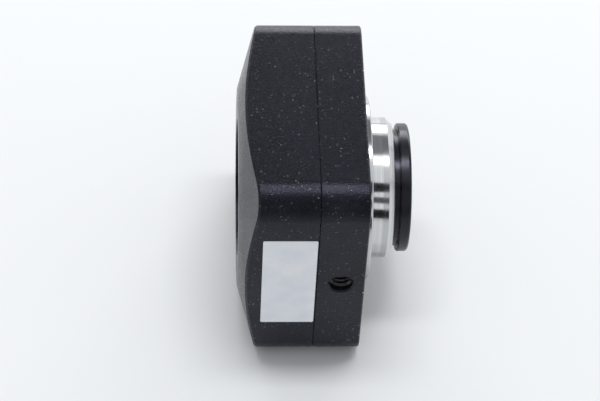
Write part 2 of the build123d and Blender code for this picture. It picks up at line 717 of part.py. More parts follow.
def make_power_jack():
    middle = sum(power_x) / 2
    body = block(power_x, (port_back_y, port_face_y), spread(power_z, POWER_WIDTH))
    return body - y_rod(POWER_BORE, (port_face_y - PORT_DEPTH + 3, port_face_y), middle, power_z)


def make_power_pin():
    return y_rod(POWER_PIN, (port_face_y - PORT_DEPTH + 3, port_face_y - 1), sum(power_x) / 2, power_z)


def make_status_light_pipe():
    pipe = y_rod(LIGHT_RADIUS, (port_back_y, half - 0.1), light_x, light_z)
    return pipe + block((light_x, main_board_back_x), (port_back_y, port_back_y + 3), spread(light_z, LIGHT_RADIUS))


# ---- Fan
def make_fan_guard():
    span = (rear_inside_x, guard_front_x)
    plate = prism(FAN_SIDE, FAN_CORNER, span) - rod(GUARD_BORE, span)
    rings = rod(5.5, span) + tube(10.5, 10.5 - GUARD_BAR, span) + tube(15.0, 15.0 - GUARD_BAR, span)
    bar = centred_block(span, 2 * GUARD_BORE + 1, GUARD_BAR)
    plate += rings + Rot(45, 0, 0) * bar + Rot(-45, 0, 0) * bar
    for y, z in four(FAN_SCREW_OFFSET, FAN_SCREW_OFFSET):
        plate -= rod(M3_FLAT[0] + HOLE_CLEARANCE, span, y, z)
    return plate


def make_fan_frame():
    span = (guard_front_x, fan_front_x)
    struts = (fan_front_x - FAN_STRUT, fan_front_x)
    frame = prism(FAN_SIDE, FAN_CORNER, span) - rod(FAN_BORE, span)
    bar = centred_block(struts, 2 * FAN_BORE + 1, 1.6)
    frame += rod(ROTOR_HUB_RADIUS, struts) + bar + Rot(90, 0, 0) * bar
    for y, z in four(FAN_SCREW_OFFSET, FAN_SCREW_OFFSET):
        frame -= rod(M3_FLAT[0] + THREAD_CLEARANCE, span, y, z)
    return frame


hub_inside_x = rotor_rear_x + ROTOR_HUB_WALL
stator_base_x = fan_front_x - FAN_STRUT
stator_rear_x = hub_inside_x + 1.0


def make_fan_stator():
    span = (stator_rear_x, stator_base_x)
    stator = tube(STATOR_RADIUS, BEARING_RADIUS + THREAD_CLEARANCE, span)
    for y, z in four(0.7 * STATOR_RADIUS, 0.7 * STATOR_RADIUS):
        stator -= centred_block((stator_rear_x, stator_base_x - 0.8), 1.0, 1.0, y, z)
    return stator


def make_fan_bearing():
    return tube(BEARING_RADIUS, SHAFT_RADIUS + SHAFT_CLEARANCE, (hub_inside_x + 0.5, stator_base_x))


def make_fan_rotor():
    span = (rotor_rear_x, rotor_front_x)
    hub = rod(ROTOR_HUB_RADIUS, span)
    hub -= rod(ROTOR_HUB_RADIUS - ROTOR_HUB_WALL, (hub_inside_x, rotor_front_x))
    sweep_room = tube(ROTOR_TIP_RADIUS, ROTOR_HUB_RADIUS - ROTOR_HUB_WALL / 2, grown(span, -0.1))
    middle = Pos(sum(span) / 2, (ROTOR_TIP_RADIUS + ROTOR_HUB_RADIUS) / 2, 0)
    length = ROTOR_TIP_RADIUS - ROTOR_HUB_RADIUS + 4
    blade = middle * Rot(0, BLADE_PITCH, 0) * Box(BLADE_THICKNESS, length, BLADE_CHORD)
    for k in range(BLADE_COUNT):
        hub += (Rot(360 * k / BLADE_COUNT, 0, 0) * blade) & sweep_room
    return hub


def make_fan_magnet():
    outer = ROTOR_HUB_RADIUS - ROTOR_HUB_WALL - THREAD_CLEARANCE
    return tube(outer, outer - MAGNET_THICKNESS, (hub_inside_x, rotor_front_x - 0.2))


def make_fan_shaft():
    return rod(SHAFT_RADIUS, (hub_inside_x, stator_base_x - 0.2))


def make_fan_screws():
    length = REAR_WALL + GUARD_THICKNESS + FAN_DEPTH - 0.5
    return at(four(FAN_SCREW_OFFSET, FAN_SCREW_OFFSET), rear_x, AGAINST_X, screw(M3_FLAT, length, flat=True))


# ---- One file for each piece
NODES = {
    "front_shell": make_front_shell,
    "rear_shell": make_rear_shell,
    "shell_gasket": lambda: shell_seal(SEAL_CLEARANCE),
    "shell_screws": make_shell_screws,
    "blank_label": make_label,
    "lens_mount_ring": make_lens_mount_ring,
    "ring_screws": make_ring_screws,
    "mount_o_ring": lambda: o_ring(front_x - MOUNT_ORING_SETBACK, spigot_bore - THREAD_CLEARANCE),
    "window_glass": lambda: rod(WINDOW_RADIUS, (window_rear_x, window_front_x)),
    "window_o_ring": lambda: o_ring(window_front_x + ORING_RADIUS, counterbore_radius - WINDOW_CLEARANCE),
    "window_retainer": make_window_retainer,
    "dust_cap": make_dust_cap,
    "sensor_package": make_sensor_package,
    "sensor_die": lambda: centred_block((die_seat_x, sensor_x), DIE_WIDTH, DIE_HEIGHT),
    "sensor_cover_glass": lambda: centred_block(
        (package_front_x, package_front_x + COVER_GLASS_THICKNESS),
        PACKAGE_WIDTH - PACKAGE_WALL, PACKAGE_HEIGHT - PACKAGE_WALL),
    "sensor_board": make_sensor_board,
    "sensor_board_screws": make_sensor_board_screws,
    "chamber_gasket": lambda: tube(
        CHAMBER_RADIUS - PORT_CLEARANCE, spigot_bore + PORT_CLEARANCE, (sensor_board_x, chamber_end_x)),
    "desiccant_tablet": lambda: rod(
        DESICCANT_RADIUS, (sensor_board_x, sensor_board_x + DESICCANT_HEIGHT), 0, DESICCANT_Z),
    "cold_finger": make_cold_finger,
    "cooler_cold_plate": lambda: centred_block((pellets_x, cooler_x), COLD_PLATE_SIDE, COLD_PLATE_SIDE),
    "cooler_pellets": make_cooler_pellets,
    "cooler_hot_plate": lambda: centred_block((sink_x, hot_plate_x), COLD_PLATE_SIDE, COLD_PLATE_SIDE),
    "cooler_foam": make_cooler_foam,
    "cooler_leads": make_cooler_leads,
    "cooler_terminal": make_cooler_terminal,
    "heat_sink": make_heat_sink,
    "cooler_standoffs": make_cooler_standoffs,
    "cooler_screws": make_cooler_screws,
    "main_board": make_main_board,
    "board_screws": make_board_screws,
    "board_chips": make_board_chips,
    "board_link": make_board_link,
    "fan_header": make_fan_header,
    "fan_leads": make_fan_leads,
    "usb_socket": make_usb_socket,
    "usb_insert": make_usb_insert,
    "guide_socket": make_guide_socket,
    "guide_contacts": make_guide_contacts,
    "power_jack": make_power_jack,
    "power_pin": make_power_pin,
    "status_light_pipe": make_status_light_pipe,
    "fan_guard": make_fan_guard,
    "fan_frame": make_fan_frame,
    "fan_stator": make_fan_stator,
    "fan_bearing": make_fan_bearing,
    "fan_rotor": make_fan_rotor,
    "fan_magnet": make_fan_magnet,
    "fan_shaft": make_fan_shaft,
    "fan_screws": make_fan_screws,
}

if __name__ == "__main__":
    os.makedirs("parts", exist_ok=True)
    for name, make in NODES.items():
        export_step(make(), f"parts/{name}.step")
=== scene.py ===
import json
import math

import bmesh
import bpy
from mathutils import Matrix, Vector


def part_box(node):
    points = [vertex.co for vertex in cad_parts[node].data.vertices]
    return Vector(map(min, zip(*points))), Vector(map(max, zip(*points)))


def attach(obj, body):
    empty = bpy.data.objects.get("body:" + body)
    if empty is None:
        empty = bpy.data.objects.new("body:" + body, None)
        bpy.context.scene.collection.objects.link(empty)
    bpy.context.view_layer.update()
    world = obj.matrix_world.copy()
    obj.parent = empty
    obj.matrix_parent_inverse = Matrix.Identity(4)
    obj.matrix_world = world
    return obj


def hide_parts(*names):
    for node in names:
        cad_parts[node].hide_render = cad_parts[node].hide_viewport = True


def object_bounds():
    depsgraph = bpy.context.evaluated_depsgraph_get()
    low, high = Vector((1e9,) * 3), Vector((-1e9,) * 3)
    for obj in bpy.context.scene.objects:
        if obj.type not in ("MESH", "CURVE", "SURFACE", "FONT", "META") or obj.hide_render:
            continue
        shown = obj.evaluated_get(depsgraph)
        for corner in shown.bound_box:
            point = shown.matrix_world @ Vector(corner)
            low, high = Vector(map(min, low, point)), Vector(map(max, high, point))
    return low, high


bl_info = {
    "name": "Cooled Astronomy Camera",
    "version": (1, 0, 0),
    "blender": (4, 5, 0),
    "location": "3D View > Sidebar > Camera Body",
    "description": "Finishes the pieces of a cooled astronomy camera around its packed frame",
    "category": "Object",
}

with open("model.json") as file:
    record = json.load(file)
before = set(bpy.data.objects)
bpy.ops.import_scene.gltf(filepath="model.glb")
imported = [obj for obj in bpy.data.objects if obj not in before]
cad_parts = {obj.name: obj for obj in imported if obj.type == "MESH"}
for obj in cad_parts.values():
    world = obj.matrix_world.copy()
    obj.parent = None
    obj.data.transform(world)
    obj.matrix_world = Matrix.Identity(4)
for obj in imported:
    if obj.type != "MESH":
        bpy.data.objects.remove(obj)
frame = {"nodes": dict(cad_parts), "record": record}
CAD_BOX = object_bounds()
MM = 0.001

# ---- Places read from the frame, in metres
FRONT_LOW, FRONT_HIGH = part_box("front_shell")
REAR_LOW, REAR_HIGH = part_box("rear_shell")
RING_LOW, RING_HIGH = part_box("lens_mount_ring")
CAP_LOW, CAP_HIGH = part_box("dust_cap")
LABEL_LOW, LABEL_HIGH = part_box("blank_label")
FRONT_X = FRONT_HIGH.x
SPLIT_X = FRONT_LOW.x
HALF = FRONT_HIGH.z


def mount(name):
    """The place, axis and sizes of one of the record's mounts."""
    return next(m for m in frame["record"]["mounts"] if m["name"] == name)


# ---- Settings that a user would change
def length(label, words, default_mm):
    return bpy.props.FloatProperty(name=label, description=words, default=default_mm, min=0.0, unit="NONE")


def share(label, words, default):
    return bpy.props.FloatProperty(name=label, description=words, default=default, min=0.0, max=1.0, subtype="FACTOR")


def linear(code):
    """An sRGB hex colour as linear red, green, blue and alpha."""
    channels = [int(code[k:k + 2], 16) / 255 for k in (1, 3, 5)]
    return [c / 12.92 if c <= 0.04045 else ((c + 0.055) / 1.055) ** 2.4 for c in channels] + [1.0]


def colour(label, words, code):
    return bpy.props.FloatVectorProperty(
        name=label, description=words, default=linear(code)[:3], size=3, min=0.0, max=1.0, subtype="COLOR")


class HousingSettings(bpy.types.PropertyGroup):
    """The anodised shells and the blank label on their side."""

    dark: colour("Anodising, dark", "Darkest tone of the dyed oxide", "#08080B")
    light: colour("Anodising, light", "Lightest tone of the dyed oxide", "#201F26")
    grain: length("Blast grain", "Pit spacing that the beads leave, in mm", 0.5)
    roughness: share("Roughness", "Roughness of the blasted oxide", 0.25)
    label: colour("Label", "Face of the blank label", "#E9EDF4")


class LensEndSettings(bpy.types.PropertyGroup):
    """The turned ring, its thread and the dust cap."""

    metal: colour("Turned aluminium", "Colour of the bare ring", "#DADBDC")
    groove: length("Tool mark", "Spacing of the turning marks, in mm", 0.22)
    lens_pitch: length("Lens thread pitch", "Pitch of the lens thread, in mm", 25.4 / 32)
    tripod_pitch: length("Tripod thread pitch", "Pitch of the tripod thread, in mm", 25.4 / 20)
    cap: colour("Dust cap", "Moulded dust cap", "#0D0E11")


class FanSettings(bpy.types.PropertyGroup):
    """The cooling fan behind the rear opening."""

    blades: bpy.props.IntProperty(name="Blades", description="Blades on the rotor", default=7, min=3, max=15)
    plastic: colour("Fan plastic", "Glass-filled moulding of the fan", "#1B1B1C")


class StageSettings(bpy.types.PropertyGroup):
    """The pale floor and the soft lights."""

    floor: colour("Floor", "Seamless paper under the camera", "#EEF0F1")
    key: bpy.props.FloatProperty(name="Key", description="Power of the large lamp behind", default=10.5, min=0.0, unit="POWER")
    top: bpy.props.FloatProperty(name="Top", description="Power of the lamp overhead", default=4.2, min=0.0, unit="POWER")


# ---- Node and material helpers
def add_node(tree, kind, inputs=None, **settings):
    """Adds one node. An input given as a socket is linked, and any other is set as a value."""
    node = tree.nodes.new(kind)
    for key, value in settings.items():
        setattr(node, key, value)
    for key, value in (inputs or {}).items():
        if isinstance(value, bpy.types.NodeSocket):
            tree.links.new(value, node.inputs[key])
        else:
            node.inputs[key].default_value = value
    return node


def rgba(value):
    return linear(value) if isinstance(value, str) else [*value, 1.0]


def start(name, base, roughness, metallic=0.0, **sockets):
    """A new material with its shader's own sockets set. Gives it with its tree, shader and Object coordinates."""
    material = bpy.data.materials.new(name)
    material.use_nodes = True
    tree = material.node_tree
    shader = tree.nodes["Principled BSDF"]
    values = {"Base Color": rgba(base), "Roughness": roughness, "Metallic": metallic}
    values.update({key.replace("_", " "): value for key, value in sockets.items()})
    for key, value in values.items():
        shader.inputs[key].default_value = value
    place = add_node(tree, "ShaderNodeTexCoord").outputs["Object"]
    return material, tree, shader, place


def scale_for(size_mm):
    """The scale at which a pattern on Object coordinates repeats about every size_mm."""
    return 1.0 / (size_mm * MM)


def vary(tree, shader, factor, dark, light, rough=None):
    """Colour, and roughness where it is given, follow one factor from 0 to 1."""
    mix = add_node(tree, "ShaderNodeMix", {0: factor, 6: rgba(dark), 7: rgba(light)}, data_type="RGBA")
    tree.links.new(mix.outputs[2], shader.inputs["Base Color"])
    if rough:
        spread = add_node(tree, "ShaderNodeMapRange", {"Value": factor, "To Min": rough[0], "To Max": rough[1]})
        tree.links.new(spread.outputs["Result"], shader.inputs["Roughness"])
    return mix


def emboss(tree, shader, height, depth_mm, strength=1.0):
    bump = add_node(tree, "ShaderNodeBump", {"Height": height, "Distance": depth_mm * MM, "Strength": strength})
    tree.links.new(bump.outputs["Normal"], shader.inputs["Normal"])


def blasted_anodising(name, dark, light, grain_mm, rough, worn_x=None):
    """Bead-blasted aluminium, dyed black: pitted grain, a few pale specks painted in as glints, and nicks on a handled
    edge that show the metal.
    """
    material, tree, shader, place = start(
        name, dark, rough, Specular_IOR_Level=0.26, Specular_Tint=linear("#DDE0FF"))
    pits = add_node(tree, "ShaderNodeTexVoronoi", {"Vector": place, "Scale": scale_for(grain_mm * 0.6)})
    haze = add_node(tree, "ShaderNodeTexNoise", {"Vector": place, "Scale": scale_for(14.0), "Detail": 4.0})
    fine = add_node(tree, "ShaderNodeTexNoise", {"Vector": place, "Scale": scale_for(grain_mm), "Detail": 3.0})
    tone = add_node(tree, "ShaderNodeMath", {0: haze.outputs["Fac"], 1: fine.outputs["Fac"]}, operation="MULTIPLY")
    tone = add_node(tree, "ShaderNodeMapRange", {"Value": tone.outputs[0], "From Min": 0.14, "From Max": 0.36})
    mix = vary(tree, shader, tone.outputs["Result"], dark, light, (rough + 0.05, rough - 0.05))
    height = add_node(tree, "ShaderNodeMath", {0: pits.outputs["Distance"], 1: fine.outputs["Fac"]}, operation="ADD")
    emboss(tree, shader, height.outputs[0], 0.06, 0.8)
    # A few random grain cells get a pale, partly metallic tone: painted glints of the blasted grain.
    chance = add_node(tree, "ShaderNodeSeparateColor", {0: pits.outputs["Color"]})
    painted_glint = add_node(tree, "ShaderNodeMapRange", {
        "Value": chance.outputs["Red"], "From Min": 0.985, "From Max": 1.0, "To Max": 0.3})
    glint_and_nick = painted_glint.outputs["Result"]
    if worn_x is not None:
        spot = add_node(tree, "ShaderNodeTexNoise", {"Vector": place, "Scale": scale_for(1.7), "Detail": 2.0})
        rare = add_node(tree, "ShaderNodeMapRange", {"Value": spot.outputs["Fac"], "From Min": 0.66, "From Max": 0.7})
        axes = add_node(tree, "ShaderNodeSeparateXYZ", {0: place})
        near = add_node(tree, "ShaderNodeMapRange", {
            "Value": axes.outputs["X"], "From Min": worn_x - 0.5 * MM, "From Max": worn_x - 0.3 * MM})
        past = add_node(tree, "ShaderNodeMapRange", {
            "Value": axes.outputs["X"], "From Min": worn_x - 0.02 * MM, "From Max": worn_x - 0.1 * MM})
        edge = add_node(tree, "ShaderNodeMath", {0: near.outputs[0], 1: past.outputs[0]}, operation="MULTIPLY")
        nick = add_node(tree, "ShaderNodeMath", {0: rare.outputs[0], 1: edge.outputs[0]}, operation="MULTIPLY")
        either = add_node(tree, "ShaderNodeMath", {0: nick.outputs[0], 1: glint_and_nick}, operation="MAXIMUM")
        glint_and_nick = either.outputs[0]
    # Pale metal tone where the painted glints fall, and where the real nicks wear through the dye.
    glint_and_nick_tone = add_node(tree, "ShaderNodeMix", {0: glint_and_nick, 6: mix.outputs[2], 7: linear("#C9C8C6")}, data_type="RGBA")
    tree.links.new(glint_and_nick_tone.outputs[2], shader.inputs["Base Color"])
    tree.links.new(glint_and_nick, shader.inputs["Metallic"])
    return material


def turned_metal(name, base, groove_mm, rough, axis="X"):
    """Metal cut on a lathe: fine rings about the axis that draw light out into bands, and a few deeper tool lines."""
    material, tree, shader, place = start(name, base, rough, 1.0)
    axes = add_node(tree, "ShaderNodeSeparateXYZ", {0: place})
    across = [axes.outputs[key] for key in "XYZ" if key != axis]
    flat = add_node(tree, "ShaderNodeCombineXYZ", {"X": across[0], "Y": across[1]})
    radius = add_node(tree, "ShaderNodeVectorMath", {0: flat.outputs[0]}, operation="LENGTH")
    along = add_node(tree, "ShaderNodeCombineXYZ", {"X": axes.outputs[axis], "Y": radius.outputs["Value"]})
    fine = add_node(tree, "ShaderNodeTexNoise", {
        "Vector": along.outputs[0], "Scale": scale_for(groove_mm), "Detail": 4.0}, noise_dimensions="2D")
    broad = add_node(tree, "ShaderNodeTexNoise", {
        "Vector": along.outputs[0], "Scale": scale_for(groove_mm * 7), "Detail": 2.0}, noise_dimensions="2D")
    both = add_node(tree, "ShaderNodeMath", {0: fine.outputs["Fac"], 1: broad.outputs["Fac"]}, operation="MULTIPLY")
    tone = add_node(tree, "ShaderNodeMapRange", {"Value": both.outputs[0], "From Min": 0.1, "From Max": 0.4})
    darker = [channel * 0.72 for channel in rgba(base)[:3]]
    vary(tree, shader, tone.outputs["Result"], darker, base, (rough + 0.03, rough - 0.03))
    emboss(tree, shader, fine.outputs["Fac"], 0.003, 0.4)
    return material


def moulded_plastic(name, dark, light, grain_mm, rough, depth_mm=0.01, **sockets):
    """An injection moulding: faint spark-eroded grain from the tool, and slow flow marks in its gloss."""
    material, tree, shader, place = start(name, dark, rough, **sockets)
    flow = add_node(tree, "ShaderNodeTexNoise", {"Vector": place, "Scale": scale_for(6.0), "Detail": 3.0})
    grain = add_node(tree, "ShaderNodeTexNoise", {"Vector": place, "Scale": scale_for(grain_mm), "Detail": 4.0})
    tone = add_node(tree, "ShaderNodeMapRange", {"Value": flow.outputs["Fac"], "From Min": 0.35, "From Max": 0.65})
    vary(tree, shader, tone.outputs["Result"], dark, light, (max(rough - 0.06, 0.02), rough + 0.06))
    emboss(tree, shader, grain.outputs["Fac"], depth_mm, 0.5)
    return material


def worked_metal(name, dark, light, mark_mm, rough, stretch=(1.0, 1.0, 1.0)):
    """Rolled, plated or machined metal: faint scratches along one direction over small changes of tone."""
    material, tree, shader, place = start(name, light, rough, 1.0)
    drawn = add_node(tree, "ShaderNodeMapping", {"Vector": place, "Scale": stretch})
    marks = add_node(tree, "ShaderNodeTexNoise", {
        "Vector": drawn.outputs[0], "Scale": scale_for(mark_mm), "Detail": 6.0})
    tone = add_node(tree, "ShaderNodeMapRange", {"Value": marks.outputs["Fac"], "From Min": 0.3, "From Max": 0.7})
    vary(tree, shader, tone.outputs["Result"], dark, light, (rough + 0.1, max(rough - 0.06, 0.05)))
    emboss(tree, shader, marks.outputs["Fac"], 0.008, 0.4)
    return material


def pored(name, dark, light, pore_mm, rough, depth_mm):
    """A dull solid with open pores or pressed grains, such as foam, fired ceramic or a tablet."""
    material, tree, shader, place = start(name, dark, rough)
    pores = add_node(tree, "ShaderNodeTexVoronoi", {"Vector": place, "Scale": scale_for(pore_mm)})
    vary(tree, shader, pores.outputs["Distance"], dark, light, (rough, min(rough + 0.1, 1.0)))
    emboss(tree, shader, pores.outputs["Distance"], depth_mm, 0.7)
    return material


def solder_mask(name, dark, light):
    """A glass-epoxy board under green lacquer: routed copper shows as paler tracks in relief, with plated dots."""
    material, tree, shader, place = start(name, dark, 0.32, Coat_Weight=0.3)
    turned = add_node(tree, "ShaderNodeMapping", {"Vector": place, "Rotation": (0.0, math.pi / 2, 0.0)})
    tracks = add_node(tree, "ShaderNodeTexBrick", {
        "Vector": turned.outputs[0], "Scale": scale_for(1.0), "Mortar Size": 0.06, "Brick Width": 2.6,
        "Row Height": 0.7, "Color1": (0, 0, 0, 1), "Color2": (0.1, 0.1, 0.1, 1), "Mortar": (1, 1, 1, 1)})
    dots = add_node(tree, "ShaderNodeTexVoronoi", {"Vector": place, "Scale": scale_for(2.4)})
    via = add_node(tree, "ShaderNodeMapRange", {
        "Value": dots.outputs["Distance"], "From Min": 0.16, "From Max": 0.12})
    mix = vary(tree, shader, tracks.outputs["Color"], dark, light)
    plated = add_node(
        tree, "ShaderNodeMix", {0: via.outputs["Result"], 6: mix.outputs[2], 7: linear("#C9A95A")}, data_type="RGBA")
    tree.links.new(plated.outputs[2], shader.inputs["Base Color"])
    tree.links.new(via.outputs["Result"], shader.inputs["Metallic"])
    emboss(tree, shader, tracks.outputs["Fac"], 0.03, 0.5)
    return material


def clear_optic(name, tint, rough, film_nm=0.0, **sockets):
    """Polished glass or clear moulding, with a thin coating where the film has a thickness."""
    material, tree, shader, place = start(name, tint, rough, Transmission_Weight=1.0, IOR=1.5, **sockets)
    shader.inputs["Thin Film Thickness"].default_value = film_nm
    dust = add_node(tree, "ShaderNodeTexNoise", {"Vector": place, "Scale": scale_for(0.6), "Detail": 5.0})
    speck = add_node(tree, "ShaderNodeMapRange", {
        "Value": dust.outputs["Fac"], "From Min": 0.6, "From Max": 0.8, "To Min": rough, "To Max": rough + 0.12})
    tree.links.new(speck.outputs["Result"], shader.inputs["Roughness"])
    return material


def silicon_die(name):
    """The light-sensitive chip: a polished, faintly iridescent field ruled into a fine grid of cells."""
    material, tree, shader, place = start(name, "#2A2233", 0.14, 0.6)
    shader.inputs["Thin Film Thickness"].default_value = 420.0
    turned = add_node(tree, "ShaderNodeMapping", {"Vector": place, "Rotation": (0.0, math.pi / 2, 0.0)})
    cells = add_node(tree, "ShaderNodeTexBrick", {
        "Vector": turned.outputs[0], "Scale": scale_for(0.5), "Mortar Size": 0.03, "Brick Width": 0.5,
        "Row Height": 0.5, "Color1": (0, 0, 0, 1), "Color2": (0.2, 0.2, 0.2, 1), "Mortar": (1, 1, 1, 1)},
        offset=0.0)
    vary(tree, shader, cells.outputs["Color"], "#241C33", "#3A3350")
    return material


def paper(name, base):
    """Seamless studio paper: even and matt, with the least mottling."""
    material, tree, shader, place = start(name, base, 0.9)
    fibre = add_node(tree, "ShaderNodeTexNoise", {"Vector": place, "Scale": scale_for(60.0), "Detail": 3.0})
    light = rgba(base)[:3]
    vary(tree, shader, fibre.outputs["Fac"], [channel * 0.985 for channel in light], light)
    return material


# ---- Mesh helpers
def link(name, mesh):
    piece = bpy.data.objects.new(name, mesh)
    bpy.context.scene.collection.objects.link(piece)
    return piece


def bake(piece):
    """Turns the piece's modifiers into its own plain mesh."""
    graph = bpy.context.evaluated_depsgraph_get()
    mesh = bpy.data.meshes.new_from_object(piece.evaluated_get(graph), depsgraph=graph)
    old = piece.data
    piece.modifiers.clear()
    piece.data = mesh
    mesh.name = piece.name
    bpy.data.meshes.remove(old)


def smooth(mesh, degrees=30.0):
    mesh.shade_smooth()
    mesh.set_sharp_from_angle(angle=math.radians(degrees))


def settle(piece, material, slot, *replaced, body="housing", even=True, bevel_mm=0.0):
    """Finishes a piece: bevels, even shading, material, the body that carries it and the CAD nodes it stands for."""
    smooth(piece.data)
    if bevel_mm:
        edge = piece.modifiers.new("edge", "BEVEL")
        edge.width = bevel_mm * MM
        edge.segments = 2
        edge.limit_method = "ANGLE"
        edge.angle_limit = math.radians(35)
    if even:
        weighted = piece.modifiers.new("even", "WEIGHTED_NORMAL")
        weighted.keep_sharp = True
    if piece.modifiers:
        bake(piece)
    piece.data.materials.clear()
    piece.data.materials.append(material)
    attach(piece, body)
    if replaced:
        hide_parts(*replaced)
    return piece


def welded(node):
    """The CAD node's shape as one joined skin, in a new mesh."""
    shape = bmesh.new()
    shape.from_mesh(frame["nodes"][node].data)
    bmesh.ops.remove_doubles(shape, verts=shape.verts, dist=1e-7)
    corners = [vertex.co[:] for vertex in shape.verts]
    shape.verts.index_update()
    faces = [[vertex.index for vertex in face.verts] for face in shape.faces]
    shape.free()
    mesh = bpy.data.meshes.new(node)
    mesh.from_pydata(corners, [], faces)
    return mesh


def body_of(node):
    bodies = frame["record"]["behaviour"]["bodies"]
    return next(name for name, members in bodies.items() if node in members)


def slot_of(node):
    return next(part["material_slot"] for part in frame["record"]["subparts"] if part["node"] == node)


def finish_node(node, material, bevel_mm=0.0):
    """A smooth-shaded stand-in for one CAD node."""
    piece = link(f"{node}_finished", welded(node))
    return settle(piece, material, slot_of(node), node, body=body_of(node), bevel_mm=bevel_mm)


def mesh_from(name, corners, faces):
    mesh = bpy.data.meshes.new(name)
    mesh.from_pydata(corners, [], faces)
    shape = bmesh.new()
    shape.from_mesh(mesh)
    bmesh.ops.remove_doubles(shape, verts=shape.verts, dist=1e-8)
    bmesh.ops.recalc_face_normals(shape, faces=shape.faces)
    shape.to_mesh(mesh)
    shape.free()
    return mesh


def helix_ridge(name, radius, depth, pitch, turns, axis_start, axis, segments=64):
    """A V-shaped thread ridge that stands inwards from the wall of a hole, closed at both ends."""
    forward = Vector(axis).normalized()
    side = forward.orthogonal().normalized()
    other = forward.cross(side)
    steps = round(turns * segments)
    corners, faces = [], []
    for k in range(steps + 1):
        turn = 2 * math.pi * k / segments
        out = side * math.cos(turn) + other * math.sin(turn)
        fade = min(1.0, k / (segments / 4), (steps - k) / (segments / 4))
        centre = Vector(axis_start) + forward * (pitch * k / segments)
        crest = radius - depth * (0.05 + 0.95 * fade)
        for along, reach in ((-0.46, radius), (-0.07, crest), (0.07, crest), (0.46, radius)):
            corners.append(centre + forward * (pitch * along) + out * reach)
    for k in range(steps):
        first = 4 * k
        for j in range(4):
            nxt = (j + 1) % 4
            faces.append((first + j, first + nxt, first + 4 + nxt, first + 4 + j))
    faces += [(3, 2, 1, 0), tuple(4 * steps + j for j in range(4))]
    return mesh_from(name, [corner[:] for corner in corners], faces)


# ---- One operator for each piece or group of like pieces
class PieceOperator(bpy.types.Operator):
    """Common options of the operators below."""

    bl_options = {"REGISTER", "UNDO"}


class CAMERA_OT_housing(PieceOperator):
    """Finish the two anodised shells"""

    bl_idname = "astro_camera.housing"
    bl_label = "Housing Shells"

    def execute(self, context):
        look = context.scene.camera_housing
        # Blasted black anodising: matt, slightly violet, with fine pits and a few painted glints among them.
        for node, worn in (("front_shell", FRONT_X), ("rear_shell", None)):
            material = blasted_anodising(
                f"{node}_blasted_black_anodising", look.dark, look.light, look.grain, look.roughness, worn)
            finish_node(node, material)
        return {"FINISHED"}


class CAMERA_OT_label(PieceOperator):
    """Lay the blank label on the side of the rear shell"""

    bl_idname = "astro_camera.label"
    bl_label = "Blank Label"

    def execute(self, context):
        # Coated polyester film: bright, faintly blue, with a satin face.
        material = moulded_plastic(
            "label_polyester_film", context.scene.camera_housing.label, "#F4F6FA", 0.5, 0.38, 0.004)
        corner = 0.5 * MM
        steps = 6
        low, high = LABEL_LOW, LABEL_HIGH
        outline = []
        quarter = math.pi / 2
        centres = ((high.x - corner, high.z - corner), (low.x + corner, high.z - corner),
                   (low.x + corner, low.z + corner), (high.x - corner, low.z + corner))
        for quadrant, (x, z) in enumerate(centres):
            for k in range(steps + 1):
                angle = quarter * (quadrant + k / steps)
                outline.append((x + corner * math.cos(angle), z + corner * math.sin(angle)))
        count = len(outline)
        inset = 0.04 * MM
        middle_x, middle_z = (low.x + high.x) / 2, (low.z + high.z) / 2

        def drawn_in(point):
            x, z = point
            return (x - math.copysign(inset, x - middle_x), z - math.copysign(inset, z - middle_z))

        corners = [(x, high.y, z) for x, z in outline]
        corners += [(x, low.y + inset, z) for x, z in outline]
        corners += [(x, low.y, z) for x, z in map(drawn_in, outline)]
        faces = [tuple(range(count)), tuple(range(2 * count, 3 * count))]
        for ring in (0, count):
            for k in range(count):
                nxt = (k + 1) % count
                faces.append((ring + k, ring + nxt, ring + count + nxt, ring + count + k))
        piece = link("blank_label_film", mesh_from("blank_label_film", corners, faces))
        settle(piece, material, "label_film", "blank_label")
        return {"FINISHED"}


class CAMERA_OT_threads(PieceOperator):
    """Cut the tripod thread and the lens thread into their bores"""

    bl_idname = "astro_camera.threads"
    bl_label = "Threads"

    def execute(self, context):
        look = context.scene.camera_lens_end
        for name, pitch_mm, depth_share, material, slot in (
            ("tripod_socket", look.tripod_pitch, 0.5, turned_metal(
                "tripod_thread_dyed_aluminium", "#4A494C", 0.3, 0.3, "Y"), "black_anodised"),
            ("lens_thread", look.lens_pitch, 0.5, turned_metal(
                "lens_thread_cut_aluminium", look.metal, look.groove, 0.25), "turned_aluminium"),
        ):
            place = mount(name)
            axis = Vector(place["axis"])
            span = place["dims"]["length_mm"] * MM
            pitch = pitch_mm * MM
            turns = int((span - pitch) / pitch * 4) / 4
            begin = Vector(place["pos_m"]) - axis * (turns * pitch / 2)
            radius = place["dims"]["r_mm"] * MM
            mesh = helix_ridge(f"{name}_ridge", radius, depth_share * pitch, pitch, turns, begin, axis)
            settle(link(f"{name}_ridge", mesh), material, slot, even=False)
        return {"FINISHED"}


class CAMERA_OT_lens_ring(PieceOperator):
    """Finish the turned lens mount ring"""

    bl_idname = "astro_camera.lens_ring"
    bl_label = "Lens Mount Ring"

    def execute(self, context):
        look = context.scene.camera_lens_end
        # Bare aluminium straight from the lathe: bright bands broken by tool marks.
        material = turned_metal("lens_ring_turned_aluminium", look.metal, look.groove, 0.12)
        finish_node("lens_mount_ring", material)
        return {"FINISHED"}


class CAMERA_OT_dust_cap(PieceOperator):
    """Finish the moulded dust cap"""

    bl_idname = "astro_camera.dust_cap"
    bl_label = "Dust Cap"

    def execute(self, context):
        # Polyethylene from a polished tool: smooth, black, softly glossy.
        material = moulded_plastic(
            "dust_cap_moulded_polyethylene", context.scene.camera_lens_end.cap, "#15161A", 0.25, 0.3, 0.006,
            Specular_IOR_Level=0.4, Specular_Tint=linear("#E8EAFF"))
        finish_node("dust_cap", material)
        return {"FINISHED"}


